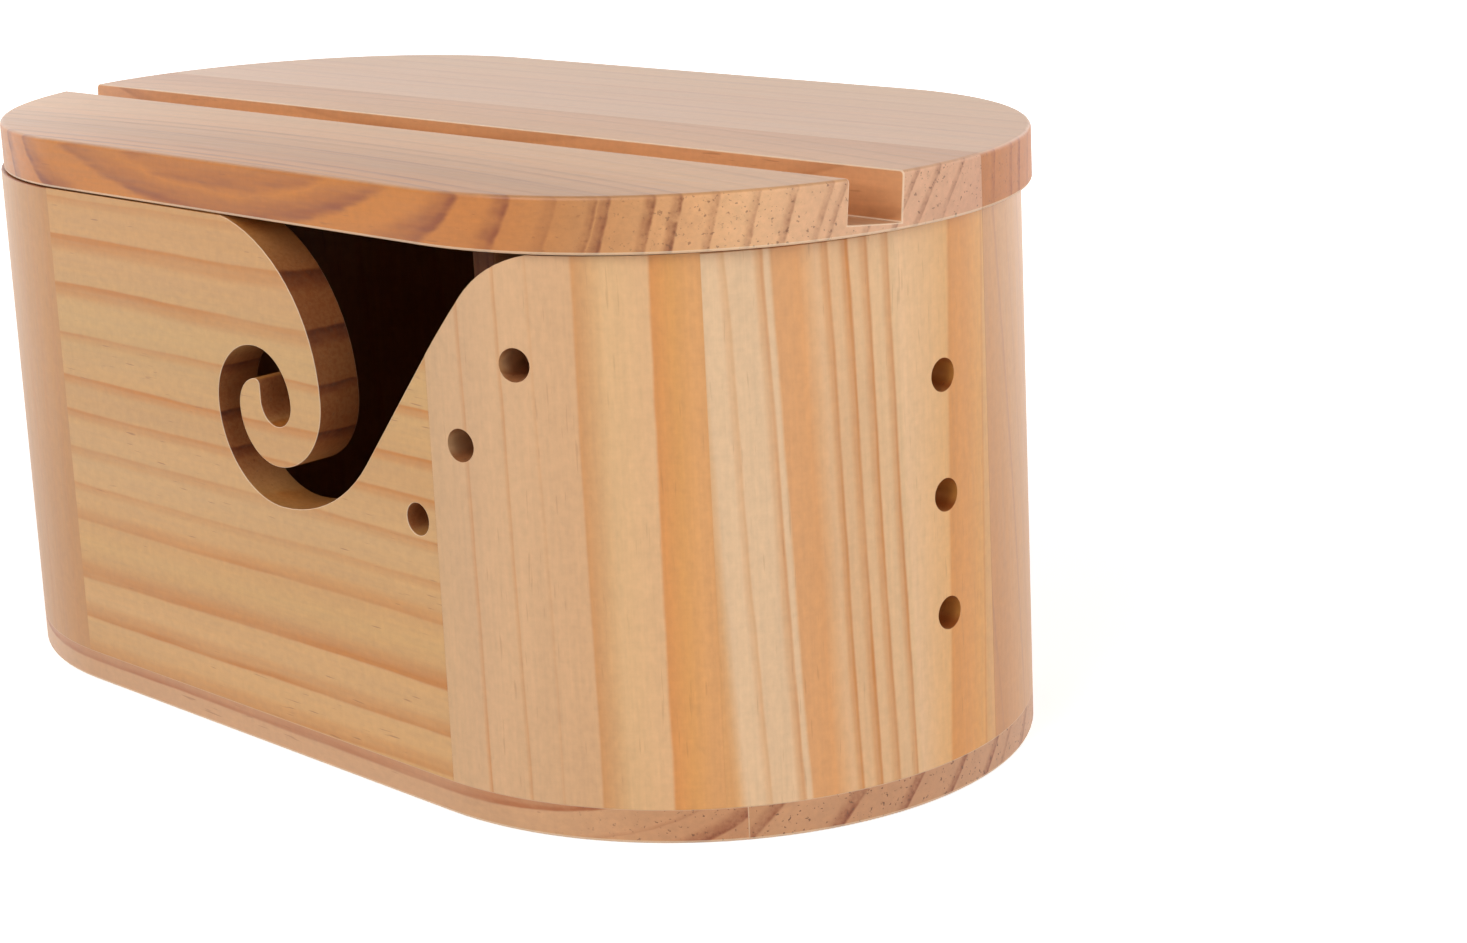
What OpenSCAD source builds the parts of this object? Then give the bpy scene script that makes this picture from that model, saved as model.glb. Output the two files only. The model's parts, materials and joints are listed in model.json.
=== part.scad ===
// Yarn dispenser box: a pine box with flat sides, round ends and a loose lid.
// The origin is the middle of the underside, X runs along the box, Y to the rear and Z up.

/* [Walls] */
// Length of the box over its round ends
body_l = 290; // [270:1:320]
// Depth of the box from front to rear
body_d = 153; // [145:1:165]
// Height of the walls, which stand on the base
wall_h = 117.5; // [112:0.5:130]
// Thickness of the walls
wall_t = 11; // [9:0.5:13]
// Sanded easing along the rim of the walls and under the base and the lid
edge_ease = 0.4; // [0.2:0.1:0.8]

/* [Boards of the round ends] */
// How far each flat panel runs past the start of the round end
panel_past = 1.5; // [0.5:0.25:2.5]
// Width of the front board of each round end, measured from the front face
front_board_w = 26.2; // [23:0.2:30]
// Width of the rear board of each round end, measured from the rear face
rear_board_w = 60.5; // [50:0.5:66]

/* [Base] */
// Thickness of the base
base_t = 7.5; // [6:0.5:12]
// Width of the front board of the base
base_front_w = 29.7; // [24:0.1:60]

/* [Scroll opening] */
// How far the opening runs on past the front panel's right end
scroll_past = 29.6; // [26:0.2:33]
// Slope of the lip where it leaves the top edge
lip_slope = 6; // [4:0.5:9]
// Radius of the rounded lip
lip_r = 27.7; // [24:0.1:30]
// Angle that the lip turns through
lip_turn = 44.6; // [42:0.2:47]
// Length of the straight ramp below the lip
ramp_l = 52.7; // [50:0.1:55]
// Radius of the bowl at the foot of the ramp
bowl_r = 40.8; // [38:0.1:43]
// Radius of the slot's outer side, first quarter turn
slot_r1 = 21.5; // [20.5:0.1:22.5]
// Radius of the slot's outer side, second quarter turn
slot_r2 = 14.9; // [14:0.1:16]
// Radius of the slot's outer side, third quarter turn
slot_r3 = 12.3; // [11.5:0.1:13]
// Radius of the slot's blind end
slot_end_r = 5.5; // [5:0.1:6]
// Length of the straight side of the tongue's tip
tip_l = 3.2; // [2.5:0.1:4]
// Radius of the tongue's tip
tip_r = 1.5; // [1.2:0.1:2]
// Angle that the tip turns through
tip_turn = 95; // [85:1:105]
// Radius of the tongue's outer side next to the tip
curl_r1 = 7; // [6.5:0.1:7.5]
// Radius of the tongue's outer side, lower left
curl_r2 = 12.6; // [12:0.1:13.2]
// Radius of the tongue's outer side, lower right
curl_r3 = 17.4; // [16.5:0.1:18.2]
// How far above the top edge the tongue's outer side would level out
run_out = 0.5; // [0.3:0.1:1.5]

/* [Hook holes] */
// Diameter of the holes that hold crochet hooks
hook_hole_d = 7.2; // [6:0.1:8]
// Distance from the front panel's right end in to the lowest front hole
front_hole_in = 6; // [5:0.5:8]
// Height of the lowest front hole above the foot of the wall
front_hole_h = 57.5; // [50:0.5:62]
// Step along the wall from one front hole to the next
front_hole_run = 14.9; // [14:0.1:16]
// Rise from one front hole to the next
front_hole_rise = 18.35; // [16:0.05:20]
// Distance between the holes in the right end
end_hole_pitch = 25.8; // [20:0.2:32]

/* [Lid] */
// Thickness of the lid
lid_t = 12; // [11.5:0.5:16]
// How far the lid stands out over the walls all round
lid_over = 0.5; // [0.2:0.1:1.2]
// How far the lid lies to the right in its play
lid_slide = 2.5; // [0:0.5:3]
// Rounding of the lid's top edge
lid_round = 1; // [0.6:0.1:2]
// Depth of the rear board of the lid
lid_rear_w = 65.5; // [50:0.5:80]

/* [Groove for a phone] */
// Width of the groove
groove_w = 12.5; // [9:0.1:13.5]
// Depth of the groove along its front side
groove_depth = 9.4; // [6:0.1:9.8]
// How far the groove leans back from upright
groove_lean = 5; // [0:0.5:6]
// Distance of the groove's front edge in front of the middle
groove_front = 25; // [20:0.5:35]

/* [Battens under the lid] */
// Width of a batten
batten_w = 7; // [5:0.5:12]
// Depth of a batten below the lid
batten_h = 10; // [6:0.5:14]
// How far each batten stands past the ends of the flat sides
batten_past = 4.5; // [-6:0.5:12]
// Clearance between a batten's ends and the walls
batten_play = 1.2; // [0.8:0.1:2]

/* [Hidden] */
$fn = 180;

end_r = body_d / 2;
inner_r = end_r - wall_t;
flat_l = body_l - body_d;
panel_l = flat_l + 2 * panel_past;
wall_top = base_t + wall_h;
front_joint_y = front_board_w - end_r;
rear_joint_y = end_r - rear_board_w;
base_joint_y = base_front_w - end_r;
lid_r = end_r + lid_over;
lid_joint_y = lid_r - lid_rear_w;
margin = 5;
big = body_l;
arc_step = 5;
round_step = 22.5;
hole_facets = 64;

// Upright section of the wall, with its outer top corner eased.
module wall_section() {
  polygon([
    [inner_r, base_t],
    [end_r, base_t],
    [end_r, wall_top - edge_ease],
    [end_r - edge_ease, wall_top],
    [inner_r, wall_top]
  ]);
}

// Everything between two distances along Y.
module between_y(y0, y1) {
  intersection() {
    children();
    translate([-big, y0, -margin])
      cube([2 * big, y1 - y0, big]);
  }
}

// A flat panel on the rear side, from the same section as the round ends.
module flat_wall() {
  translate([-panel_l / 2, 0, 0])
    rotate([90, 0, 90])
      linear_extrude(panel_l) wall_section();
}

// One round end of the wall, on the right.
module round_wall() {
  intersection() {
    translate([flat_l / 2, 0, 0]) rotate_extrude() wall_section();
    translate([panel_l / 2, -big / 2, -margin]) cube([big, big, big]);
  }
}

// The points of an arc: start, heading, radius and turn, left turns positive.
function arc_centre(from, heading, r, turn) =
  from + r * sign(turn) * [-sin(heading), cos(heading)];
function arc_points(from, heading, r, turn) =
  let (c = arc_centre(from, heading, r, turn), n = ceil(abs(turn) / arc_step))
  [for (i = [1:n])
    let (a = heading - 90 * sign(turn) + turn * i / n)
    c + r * [cos(a), sin(a)]];
function last(list) = list[len(list) - 1];
function step_points(from, heading, step) =
  step[1] == 0
    ? [from + step[0] * [cos(heading), sin(heading)]]
    : arc_points(from, heading, step[0], step[1]);

// Follows a list of steps, each a radius and a turn, or a length and no turn.
function follow(steps, from, heading, i = 0) =
  i == len(steps)
    ? []
    : let (points = step_points(from, heading, steps[i]))
      concat(points, follow(steps, last(points), heading + steps[i][1], i + 1));

// The scroll runs from the lip down the ramp, round the slot and back up the tongue.
scroll_start = [panel_l / 2 + scroll_past, wall_top];
down_steps = [
  [lip_r, lip_turn],
  [ramp_l, 0],
  [bowl_r, -(lip_slope + lip_turn)],
  [slot_r1, -90],
  [slot_r2, -90],
  [slot_r3, -90],
  [slot_end_r, -180],
  [tip_l, 0],
  [tip_r, tip_turn],
  [curl_r1, 180 - tip_turn],
  [curl_r2, 90],
  [curl_r3, 90]
];
slot_line = follow(down_steps, scroll_start, 180 + lip_slope);
tongue_foot = last(slot_line);
tongue_r = wall_top + run_out - tongue_foot[1];
tongue_line = arc_points(tongue_foot, 90, tongue_r, 90);
scroll_outline = concat(
  [scroll_start + [0, margin], scroll_start],
  slot_line,
  tongue_line,
  [[last(tongue_line)[0], wall_top + margin]]
);

// The scroll cut, straight through the front wall.
module scroll_cut() {
  translate([0, -inner_r + margin, 0])
    rotate([90, 0, 0])
      linear_extrude(wall_t + 2 * margin) polygon(scroll_outline);
}

// A hook hole square to the wall, at a distance along it and a height.
module hook_hole(along, h) {
  past = max(0, along - flat_l / 2);
  translate([min(along, flat_l / 2), 0, base_t + h])
    rotate([0, 0, past / end_r * 180 / PI])
      translate([0, -inner_r + margin, 0])
        rotate([90, 0, 0])
          cylinder(d = hook_hole_d, h = wall_t + 2 * margin, $fn = hole_facets);
}

module front_hook_holes() {
  for (i = [0:2])
    hook_hole(
      panel_l / 2 - front_hole_in + i * front_hole_run,
      front_hole_h + i * front_hole_rise
    );
}

module end_hook_holes() {
  for (i = [-1:1])
    translate([body_l / 2 - wall_t - margin, 0, base_t + wall_h / 2 + i * end_hole_pitch])
      rotate([0, 90, 0])
        cylinder(d = hook_hole_d, h = wall_t + 2 * margin, $fn = hole_facets);
}

// The front panel with its part of the scroll and the lowest hook hole.
module front_panel() {
  color("burlywood")
    difference() {
      mirror([0, 1, 0]) flat_wall();
      scroll_cut();
      front_hook_holes();
    }
}

module rear_panel() {
  color("burlywood") flat_wall();
}

// The right end: three upright boards, glued edge to edge and cut round.
module right_end_front_board() {
  color("wheat")
    difference() {
      between_y(-end_r - margin, front_joint_y) round_wall();
      scroll_cut();
      front_hook_holes();
    }
}

module right_end_middle_board() {
  color("moccasin")
    difference() {
      between_y(front_joint_y, rear_joint_y) round_wall();
      end_hook_holes();
    }
}

module right_end_rear_board() {
  color("tan")
    between_y(rear_joint_y, end_r + margin) round_wall();
}

// The left end: the same boards with no cuts.
module left_end_front_board() {
  color("tan")
    mirror([1, 0, 0])
      between_y(-end_r - margin, front_joint_y) round_wall();
}

module left_end_middle_board() {
  color("moccasin")
    mirror([1, 0, 0])
      between_y(front_joint_y, rear_joint_y) round_wall();
}

module left_end_rear_board() {
  color("tan")
    mirror([1, 0, 0])
      between_y(rear_joint_y, end_r + margin) round_wall();
}

// A slab in the box's outline, from the half section given as its child.
module racetrack_slab() {
  for (side = [-1, 1])
    translate([side * flat_l / 2, 0, 0]) rotate_extrude() children();
  translate([-flat_l / 2, 0, 0])
    rotate([90, 0, 90])
      linear_extrude(flat_l) {
        children();
        mirror([1, 0, 0]) children();
      }
}

module base_slab() {
  racetrack_slab()
    polygon([
      [0, 0],
      [end_r - edge_ease, 0],
      [end_r, edge_ease],
      [end_r, base_t],
      [0, base_t]
    ]);
}

module base_front_board() {
  color("tan") between_y(-end_r - margin, base_joint_y) base_slab();
}

module base_rear_board() {
  color("wheat") between_y(base_joint_y, end_r + margin) base_slab();
}

// The lid with its rounded top edge, before the groove.
module lid_slab() {
  corner = [lid_r - lid_round, lid_t - lid_round];
  translate([lid_slide, 0, wall_top])
    racetrack_slab()
      polygon(concat(
        [[0, 0], [lid_r - edge_ease, 0], [lid_r, edge_ease]],
        [for (a = [0:round_step:90]) corner + lid_round * [cos(a), sin(a)]],
        [[0, lid_t]]
      ));
}

// The leaning groove, open at both ends of the lid.
module groove() {
  translate([-big, -groove_front, wall_top + lid_t])
    rotate([-groove_lean, 0, 0])
      translate([0, 0, -groove_depth])
        cube([2 * big, groove_w, groove_depth + 2 * margin]);
}

module lid_front_board() {
  color("burlywood")
    difference() {
      between_y(-lid_r - margin, lid_joint_y) lid_slab();
      groove();
    }
}

module lid_rear_board() {
  color("wheat") between_y(lid_joint_y, lid_r + margin) lid_slab();
}

// Battens under the lid stop it from sliding off; they stay clear of the round ends too.
batten_reach = max(0, batten_past + batten_w / 2 + lid_slide);
batten_half_l = sqrt(pow(inner_r, 2) - pow(batten_reach, 2)) - batten_play;

module lid_batten(side) {
  color("navajowhite")
    translate([
      lid_slide + side * (flat_l / 2 + batten_past) - batten_w / 2,
      -batten_half_l,
      wall_top - batten_h
    ])
      cube([batten_w, 2 * batten_half_l, batten_h]);
}

module lid_batten_right() {
  lid_batten(1);
}

module lid_batten_left() {
  lid_batten(-1);
}

base_front_board();
base_rear_board();
front_panel();
rear_panel();
right_end_front_board();
right_end_middle_board();
right_end_rear_board();
left_end_front_board();
left_end_middle_board();
left_end_rear_board();
lid_front_board();
lid_rear_board();
lid_batten_right();
lid_batten_left();
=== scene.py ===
"""Dresses the pine yarn box: its walls, base and loose lid, in clear varnished pine.

Sizes in the classes are millimetres, as a joiner reads them, and Blender's scene is in metres.
"""

from __future__ import annotations

import json
import logging
import math
from collections.abc import Iterable
from dataclasses import dataclass
from enum import Enum
from typing import Any

import bmesh
import bpy
from mathutils import Matrix, Vector

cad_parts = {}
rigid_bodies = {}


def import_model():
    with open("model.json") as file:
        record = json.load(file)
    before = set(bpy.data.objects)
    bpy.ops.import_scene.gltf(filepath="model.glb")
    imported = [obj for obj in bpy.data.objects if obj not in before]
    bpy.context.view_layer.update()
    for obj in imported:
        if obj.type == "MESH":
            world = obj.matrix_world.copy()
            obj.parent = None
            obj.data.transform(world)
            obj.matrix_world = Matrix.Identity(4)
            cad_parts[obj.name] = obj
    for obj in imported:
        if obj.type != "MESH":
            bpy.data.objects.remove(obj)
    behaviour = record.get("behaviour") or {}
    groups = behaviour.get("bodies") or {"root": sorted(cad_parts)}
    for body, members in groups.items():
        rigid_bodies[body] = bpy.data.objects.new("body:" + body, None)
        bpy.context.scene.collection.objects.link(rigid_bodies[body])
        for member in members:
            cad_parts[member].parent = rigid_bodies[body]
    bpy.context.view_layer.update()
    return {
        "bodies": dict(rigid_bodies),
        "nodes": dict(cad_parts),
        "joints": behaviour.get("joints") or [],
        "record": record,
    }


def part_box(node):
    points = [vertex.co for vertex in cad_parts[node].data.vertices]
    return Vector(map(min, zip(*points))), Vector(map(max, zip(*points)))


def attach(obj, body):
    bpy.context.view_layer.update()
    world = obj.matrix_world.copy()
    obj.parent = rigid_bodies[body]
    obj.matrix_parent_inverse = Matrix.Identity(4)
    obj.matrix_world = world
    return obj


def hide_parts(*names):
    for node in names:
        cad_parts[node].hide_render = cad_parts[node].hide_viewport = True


MM = 0.001
ARRIS = "arris"  # attribute of a face: 1 on an eased edge, painted pale for wear and as a painted highlight, 0 elsewhere
LOG = logging.getLogger("yarn_box")
Level = tuple[int, float]  # a plane square to an axis: the axis, and the height in millimetres


class Grain(Enum):
    """Which way the fibres of a board run: the axis along them, across the rings and through."""

    ALONG_BOX = (0, 1, 2)
    ALONG_BOX_RINGS_FLAT = (0, 2, 1)
    UPRIGHT_RINGS_ALONG = (2, 0, 1)
    UPRIGHT_RINGS_DEEP = (2, 1, 0)
    ACROSS_BOX = (1, 0, 2)


class Side(Enum):
    """A side of a board's own box: the axis and which end of it."""

    LEFT = (0, 0)
    RIGHT = (0, 1)
    FRONT = (1, 0)
    REAR = (1, 1)
    FOOT = (2, 0)
    TOP = (2, 1)


class Body(Enum):
    """The two bodies that the pieces ride on."""

    BOX = "box"
    LID = "lid"


class Pattern(Enum):
    """The noises in the wood: a patch's length along the grain and width in mm, and finer layers.

    Fibres, resin dashes and pores are drawn coarser than real ones, so that they show.
    """

    SLOW_WANDER = (110.0, 26.0, 2.0)
    QUICK_WANDER = (14.0, 2.4, 2.0)
    FIBRE = (26.0, 0.75, 3.0)
    STREAK = (130.0, 4.5, 4.0)
    RIPPLE = (0.9, 4.0, 2.0)
    PORE = (0.9, 0.9, 2.0)
    MOTTLE = (2.4, 1.5, 4.0)
    DASH = (9.0, 0.7, 1.0)
    PATCH = (60.0, 24.0, 1.0)
    GAP = (24.0, 3.0, 2.0)


class Shade(Enum):
    """Colours that every pine finish shares."""

    RESIN = "#8f5729"
    SOAKED_RING = "#8a4528"
    SAWN_FUZZ = "#c98f60"
    PORE = "#6f4529"
    # Pale eased edges: wear, and a painted highlight where the edges would catch the light.
    EDGE_WEAR_AND_HIGHLIGHT = "#f6e0c0"


def linear(code: str) -> tuple[float, float, float, float]:
    """Turns an sRGB hex colour to linear.

    Args:
        code: The colour, such as "#cda67a".

    Returns:
        Red, green, blue and alpha, linear.
    """
    parts = [int(code[i : i + 2], 16) / 255 for i in (1, 3, 5)]
    light = [c / 12.92 if c <= 0.04045 else ((c + 0.055) / 1.055) ** 2.4 for c in parts]
    return (light[0], light[1], light[2], 1.0)


def add_node(
    tree: bpy.types.NodeTree,
    kind: str,
    settings: dict[str, Any] | None = None,
    inputs: dict[int | str, Any] | None = None,
) -> bpy.types.Node:
    """Adds a node with its settings and its links.

    Args:
        tree: The node tree.
        kind: The node's type.
        settings: Properties of the node.
        inputs: Values, output sockets or amounts for its inputs, by name or number.

    Returns:
        The node.
    """
    node = tree.nodes.new(kind)
    for name, value in (settings or {}).items():
        setattr(node, name, value)
    for key, value in (inputs or {}).items():
        value = value.socket if isinstance(value, Amount) else value
        if isinstance(value, bpy.types.NodeSocket):
            tree.links.new(value, node.inputs[key])
        else:
            node.inputs[key].default_value = value
    return node


@dataclass(frozen=True)
class Amount:
    """A number that varies over a surface, and is added and multiplied as plain numbers are."""

    socket: bpy.types.NodeSocket

    def reckoned(self, operation: str, other: Amount | float) -> Amount:
        """Adds the node that joins it with another number.

        Args:
            operation: What the node does.
            other: The other number.

        Returns:
            The result.
        """
        tree, numbers = self.socket.id_data, {0: self, 1: other}
        return Amount(add_node(tree, "ShaderNodeMath", {"operation": operation}, numbers).outputs[0])

    def __add__(self, other: Amount | float) -> Amount:
        """Adds another number."""
        return self.reckoned("ADD", other)

    def __mul__(self, other: Amount | float) -> Amount:
        """Multiplies by another number."""
        return self.reckoned("MULTIPLY", other)


@dataclass(frozen=True)
class Band:
    """A line of dark late wood: its sharp edge, how far it fades and how dark it is.

    A positive fade lies on the lower side of the sharp edge and a negative one on the upper side.
    """

    at: float
    fade: float
    depth: float


@dataclass(frozen=True)
class Tone:
    """The early wood's colour at a place across the rings."""

    at: float
    colour: str


@dataclass(frozen=True)
class Slant:
    """A slope that changes from one value to another over a stretch across the rings."""

    first: float = 0.0
    second: float = 0.0
    start: float = 0.0
    end: float = 1.0


@dataclass(frozen=True)
class Pith:
    """The heart of the tree, across and through the board, which its rings go round."""

    across: float
    through: float


@dataclass(frozen=True)
class PineFinish:
    """Pine under clear satin varnish, sanded smooth: soft pale early wood, dark late wood lines.

    The rings are surfaces in the board, so its face, edge and end show the same lines, as sawn
    wood does. To the eye that is one solid board, with a low sheen that the fibres break up.
    """

    name: str
    grain: Grain
    tones: tuple[Tone, ...]
    bands: tuple[Band, ...]
    late: str = "#b5763c"
    seed: float = 0.0

    # How the rings lie, round a pith or flat, and how far they wander, in millimetres. The dip
    # through the board, the lean along it and the bow start from its middle.
    pith: Pith | None = None
    dip: Slant = Slant()
    lean: Slant = Slant()
    bow: float = 0.0
    middle: tuple[float, float, float] = (0.0, 0.0, 66.0)
    wander: float = 1.6
    quick_wander: float = 0.5

    # A line's edge width in mm, its darkness over its fade, and what breaks it up.
    band_edge: float = 0.3
    band_shape: tuple[tuple[float, float], ...] = ((0.08, 1.0), (0.4, 0.6), (1.0, 0.0))
    bands_per_ramp: int = 7
    streak_breaks: float = 2.0
    pore_breaks: float = 1.6
    gaps: float = 0.8

    # The axis square to the broad faces, and how square to an axis end grain and sawn sides are.
    broad: int = 1
    end_facing: tuple[float, float] = (0.25, 0.85)
    sawn_facing: tuple[float, float] = (0.85, 0.4)

    # Tints that multiply the wood's colour on each kind of cut, and how strong its rings are there.
    face_tint: str = "#ffffff"
    face_rings: float = 1.0
    side_tint: str = "#ffffff"
    end_tint: str = "#e6d0c0"
    end_rings: float = 0.5

    # How much each pattern lightens and darkens the wood, and the first two's common strength.
    shading: tuple[tuple[Pattern, float], ...] = (
        (Pattern.FIBRE, 0.15),
        (Pattern.STREAK, 0.18),
        (Pattern.RIPPLE, 0.08),
        (Pattern.MOTTLE, 0.26),
        (Pattern.PATCH, 0.10),
    )
    fibre: float = 1.0

    # Marks: resin dashes, torn fibres on sawn faces, pores in end grain, and eased edges painted
    # pale, partly as wear and partly as a painted highlight.
    dashes: float = 0.5
    dash_level: tuple[float, float] = (0.21, 0.30)
    dash_drift: float = 0.35
    fuzz: float = 0.0
    fuzz_level: tuple[float, float] = (-0.25, 0.3)
    flecks: float = 0.5
    fleck_level: tuple[float, float] = (0.13, 0.21)
    # How pale the eased edges are painted: partly wear, partly a painted highlight.
    edge_wear_and_highlight: float = 0.45

    # The varnish coat, how far it soaks into sawn faces, and the sheen of the wood below it.
    varnish: float = 0.3
    soaks: float = 0.0
    coat_rough: float = 0.4
    ior: float = 1.5
    shine: float = 0.5
    rough: float = 0.43
    fibre_rough: float = 0.22
    end_rough: float = 0.12

    # The relief: its height in millimetres and how much, beside the fibres, the rest adds to it.
    relief: float = 0.06
    relief_strength: float = 0.35
    late_relief: float = 0.35
    ripple_relief: float = 0.3


class PineGrain:
    """Draws a pine finish in a material's nodes: rings, fibres, marks, sheen and relief."""

    def __init__(self, look: PineFinish) -> None:
        """Starts the material, with what the rest of it reads.

        Args:
            look: The finish.
        """
        self.look = look
        self.material = bpy.data.materials.new(look.name)
        self.material.use_nodes = True
        self.tree = self.material.node_tree
        self.tree.nodes.clear()
        coordinates = add_node(self.tree, "ShaderNodeTexCoord").outputs
        self.point = add_node(
            self.tree,
            "ShaderNodeVectorMath",
            {"operation": "SCALE"},
            {0: coordinates["Object"], "Scale": 1 / MM},
        ).outputs[0]
        self.noise = {pattern: self.drawn_out(pattern) for pattern in Pattern}
        self.end = self.facing(coordinates["Normal"], look.grain.value[0], look.end_facing)
        self.sawn = self.facing(coordinates["Normal"], look.broad, look.sawn_facing)
        self.face = self.sawn * -1.0 + 1.0
        self.side = self.sawn * (self.end * -1.0 + 1.0)

    def drawn_out(self, pattern: Pattern) -> Amount:
        """Makes a noise drawn out along the grain.

        Args:
            pattern: Which noise.

        Returns:
            Values from about -0.5 to 0.5.
        """
        along, across, detail = pattern.value
        rates = [1 / across] * 3
        rates[self.look.grain.value[0]] = 1 / along
        seed = self.look.seed
        scaled = add_node(
            self.tree,
            "ShaderNodeVectorMath",
            {"operation": "MULTIPLY_ADD"},
            {0: self.point, 1: rates, 2: (seed, seed * 1.7, seed * 2.3)},
        )
        made = add_node(
            self.tree,
            "ShaderNodeTexNoise",
            inputs={"Vector": scaled.outputs[0], "Scale": 1.0, "Detail": detail, "Roughness": 0.55},
        )
        return Amount(made.outputs[0]) + -0.5

    def facing(
        self, normal: bpy.types.NodeSocket, axis: int, levels: tuple[float, float]
    ) -> Amount:
        """Tells how far the surface faces along an axis, either way.

        Args:
            normal: The surface's normal.
            axis: The axis.
            levels: The normal's parts along the axis that give 0 and 1.

        Returns:
            A share from 0 to 1.
        """
        parts = add_node(self.tree, "ShaderNodeSeparateXYZ", inputs={0: normal}).outputs
        part = add_node(self.tree, "ShaderNodeMath", {"operation": "ABSOLUTE"}, {0: parts[axis]})
        return self.rising(Amount(part.outputs[0]), levels)

    def rising(self, amount: Amount, levels: tuple[float, float]) -> Amount:
        """Rises smoothly from 0 at one level of an amount to 1 at another.

        Args:
            amount: The amount.
            levels: Both levels.

        Returns:
            A share from 0 to 1.
        """
        smooth = {"interpolation_type": "SMOOTHSTEP"}
        between = {0: amount, 1: levels[0], 2: levels[1]}
        return Amount(add_node(self.tree, "ShaderNodeMapRange", smooth, between).outputs[0])

    def slope(self, across: Amount, way: Amount, slant: Slant) -> Amount:
        """Gives the shift of the rings along one way, by a slope that may change across them.

        Args:
            across: The place across the rings, in millimetres.
            way: How far the point lies along the way, in millimetres.
            slant: The slope.

        Returns:
            The shift, in millimetres.
        """
        if slant.first == slant.second:
            return way * slant.first
        rate = add_node(
            self.tree,
            "ShaderNodeMapRange",
            {"interpolation_type": "SMOOTHSTEP"},
            {0: across, 1: slant.start, 2: slant.end, 3: slant.first, 4: slant.second},
        )
        return way * Amount(rate.outputs[0])

    def ring_place(self) -> Amount:
        """Finds how far across the rings a point lies.

        Returns:
            The place across the rings, in millimetres.
        """
        look = self.look
        sockets = add_node(self.tree, "ShaderNodeSeparateXYZ", inputs={0: self.point}).outputs
        along, across, through = (Amount(sockets[axis]) for axis in look.grain.value)
        along_middle, _, through_middle = (look.middle[axis] for axis in look.grain.value)
        place = across
        if look.pith:
            way = {0: across + -look.pith.across, 1: through + -look.pith.through}
            flat = add_node(self.tree, "ShaderNodeCombineXYZ", inputs=way)
            length = {0: flat.outputs[0]}
            reach = add_node(self.tree, "ShaderNodeVectorMath", {"operation": "LENGTH"}, length)
            place = Amount(reach.outputs["Value"])
        along += -along_middle
        place += self.slope(across, through + -through_middle, look.dip)
        place += self.slope(across, along, look.lean)
        place += along * along * look.bow
        place += self.noise[Pattern.SLOW_WANDER] * (2 * look.wander)
        return place + self.noise[Pattern.QUICK_WANDER] * look.quick_wander

    def ramp(
        self, place: Amount, low: float, high: float, stops: list[tuple[float, Any]], blend: str
    ) -> bpy.types.NodeSocket:
        """Lays a colour ramp over a stretch across the rings.

        Args:
            place: The place across the rings.
            low: Where the stretch starts.
            high: Where it ends.
            stops: Places from 0 to 1 on it, each with its colour.
            blend: How the ramp goes from stop to stop.

        Returns:
            The ramp's colour.
        """
        spread = add_node(self.tree, "ShaderNodeMapRange", inputs={0: place, 1: low, 2: high})
        node = add_node(self.tree, "ShaderNodeValToRGB", inputs={0: spread.outputs[0]})
        node.color_ramp.interpolation = blend
        elements = node.color_ramp.elements
        while len(elements) < len(stops):
            elements.new(1.0)
        for element, (at, colour) in zip(elements, stops):
            element.position = at
            element.color = colour
        return node.outputs[0]

    def late_wood(self, place: Amount) -> Amount:
        """Draws the late wood lines.

        Args:
            place: The place across the rings.

        Returns:
            A share from 0, early wood, to 1, dark late wood.
        """
        look = self.look
        found: Amount | float = 0.0
        bands = sorted(look.bands, key=lambda band: band.at)
        for start in range(0, len(bands), look.bands_per_ramp):
            edges = []
            for band in bands[start : start + look.bands_per_ramp]:
                line = [(band.at + math.copysign(look.band_edge, band.fade), 0.0)]
                for share, dark in look.band_shape:
                    line.append((band.at - share * band.fade, dark * band.depth))
                edges += sorted(line)
            low, high = edges[0][0] - 0.1, edges[-1][0] + 0.1
            stops = [((at - low) / (high - low), (dark, dark, dark, 1.0)) for at, dark in edges]
            lines = self.ramp(place, low, high, stops, "EASE")
            darker = {0: lines, 1: found}
            node = add_node(self.tree, "ShaderNodeMath", {"operation": "MAXIMUM"}, darker)
            found = Amount(node.outputs[0])
        return found

    def early_wood(self, place: Amount) -> bpy.types.NodeSocket:
        """Gives the early wood's colour across the board.

        Args:
            place: The place across the rings.

        Returns:
            The colour.
        """
        tones = self.look.tones
        low, high = tones[0].at, tones[-1].at
        stops = [((tone.at - low) / (high - low), linear(tone.colour)) for tone in tones]
        return self.ramp(place, low, high, stops, "LINEAR")

    def ragged(self, late: Amount) -> Amount:
        """Breaks up the late wood lines a little, by streaks, pores and gaps.

        Args:
            late: The lines.

        Returns:
            The broken lines.
        """
        look, noise = self.look, self.noise
        breaks = noise[Pattern.STREAK] * look.streak_breaks + 1.0
        breaks += noise[Pattern.PORE] * self.end * look.pore_breaks
        breaks += noise[Pattern.GAP] * look.gaps
        return late * (breaks * (self.face * (look.face_rings - 1.0) + 1.0))

    def light(self) -> bpy.types.NodeSocket:
        """Lets the wood's tone drift with its fibres, streaks and patches.

        Returns:
            The grey that multiplies the wood's colour.
        """
        drift: Amount | float = 1.0
        for pattern, amount in self.look.shading:
            if pattern in (Pattern.FIBRE, Pattern.STREAK):
                amount *= self.look.fibre
            drift = self.noise[pattern] * amount + drift
        grey = {0: drift, 1: drift, 2: drift}
        return add_node(self.tree, "ShaderNodeCombineXYZ", inputs=grey).outputs[0]

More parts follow.
